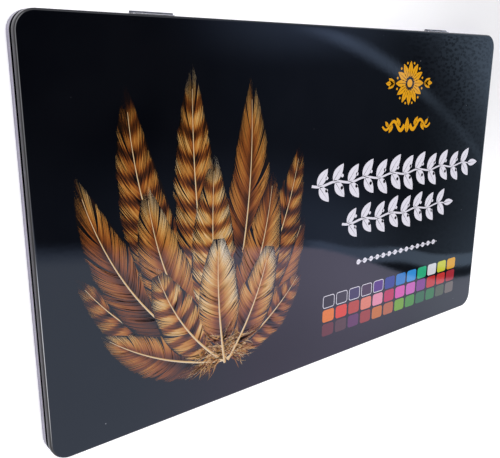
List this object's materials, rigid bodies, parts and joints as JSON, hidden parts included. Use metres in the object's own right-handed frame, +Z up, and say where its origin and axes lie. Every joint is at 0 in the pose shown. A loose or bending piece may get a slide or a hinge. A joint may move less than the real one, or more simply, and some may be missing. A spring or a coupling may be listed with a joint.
{
  "type": "colouring pencil tin",
  "caption": "Flat hinged tinplate box with a gloss black printed lid, holding one row of sharpened six-sided colouring pencils in a formed tray.",
  "frame": {"origin": "middle of the underside of the tin, where it rests", "axes": "+X along the row of pencils, to the right as the lid is read; +Y towards the hinges; +Z up out of the lid"},
  "size_m": [0.3242, 0.1973, 0.0115],
  "materials": {
    "bare_tinplate": "satin",
    "printed_tinplate": "gloss",
    "white_tray_plastic": "satin",
    "white_foam": "matte",
    "hinge_steel": "satin",
    "pin_wire": "satin",
    "pencil_black": "gloss",
    "pencil_charcoal": "gloss",
    "pencil_indigo": "gloss",
    "pencil_plum": "gloss",
    "pencil_violet": "gloss",
    "pencil_ultramarine": "gloss",
    "pencil_azure": "gloss",
    "pencil_sky": "gloss",
    "pencil_mint": "gloss",
    "pencil_white": "gloss",
    "pencil_lemon": "gloss",
    "pencil_amber": "gloss",
    "pencil_orange": "gloss",
    "pencil_vermilion": "gloss",
    "pencil_brick": "gloss",
    "pencil_salmon": "gloss",
    "pencil_pink": "gloss",
    "pencil_crimson": "gloss",
    "pencil_orchid": "gloss",
    "pencil_mauve": "gloss",
    "pencil_purple": "gloss",
    "pencil_red": "gloss",
    "pencil_scarlet": "gloss",
    "pencil_ruby": "gloss",
    "pencil_maroon": "gloss",
    "pencil_umber": "gloss",
    "pencil_grape": "gloss",
    "pencil_russet": "gloss",
    "pencil_ochre": "gloss",
    "pencil_copper": "gloss",
    "pencil_lime": "gloss",
    "pencil_leaf": "gloss",
    "pencil_pine": "gloss",
    "pencil_emerald": "gloss",
    "pencil_olive": "gloss",
    "pencil_taupe": "gloss"
  },
  "bodies": {
    "base": {"base_tin": "bare_tinplate", "tray_bed": "white_tray_plastic", "tray_frame": "white_tray_plastic", "base_hinge_leaf_left": "hinge_steel", "base_hinge_leaf_right": "hinge_steel", "hinge_pin_left": "pin_wire", "hinge_pin_right": "pin_wire", "pencil_01": "pencil_black", "pencil_02": "pencil_charcoal", "pencil_03": "pencil_indigo", "pencil_04": "pencil_plum", "pencil_05": "pencil_violet", "pencil_06": "pencil_ultramarine", "pencil_07": "pencil_azure", "pencil_08": "pencil_sky", "pencil_09": "pencil_mint", "pencil_10": "pencil_white", "pencil_11": "pencil_lemon", "pencil_12": "pencil_amber", "pencil_13": "pencil_orange", "pencil_14": "pencil_vermilion", "pencil_15": "pencil_brick", "pencil_16": "pencil_salmon", "pencil_17": "pencil_pink", "pencil_18": "pencil_crimson", "pencil_19": "pencil_orchid", "pencil_20": "pencil_mauve", "pencil_21": "pencil_purple", "pencil_22": "pencil_red", "pencil_23": "pencil_scarlet", "pencil_24": "pencil_ruby", "pencil_25": "pencil_maroon", "pencil_26": "pencil_umber", "pencil_27": "pencil_grape", "pencil_28": "pencil_russet", "pencil_29": "pencil_ochre", "pencil_30": "pencil_copper", "pencil_31": "pencil_lime", "pencil_32": "pencil_leaf", "pencil_33": "pencil_pine", "pencil_34": "pencil_emerald", "pencil_35": "pencil_olive", "pencil_36": "pencil_taupe"},
    "lid": {"lid_tin": "printed_tinplate", "lid_liner": "white_foam", "lid_hinge_leaf_left": "hinge_steel", "lid_hinge_leaf_right": "hinge_steel"}
  },
  "joints": [
    {"name": "lid_hinge", "type": "hinge", "parent": "base", "child": "lid", "pos_m": [0, 0.0987, 0.00689], "axis": [-1, 0, 0], "range_deg": [0, 180]}
  ]
}
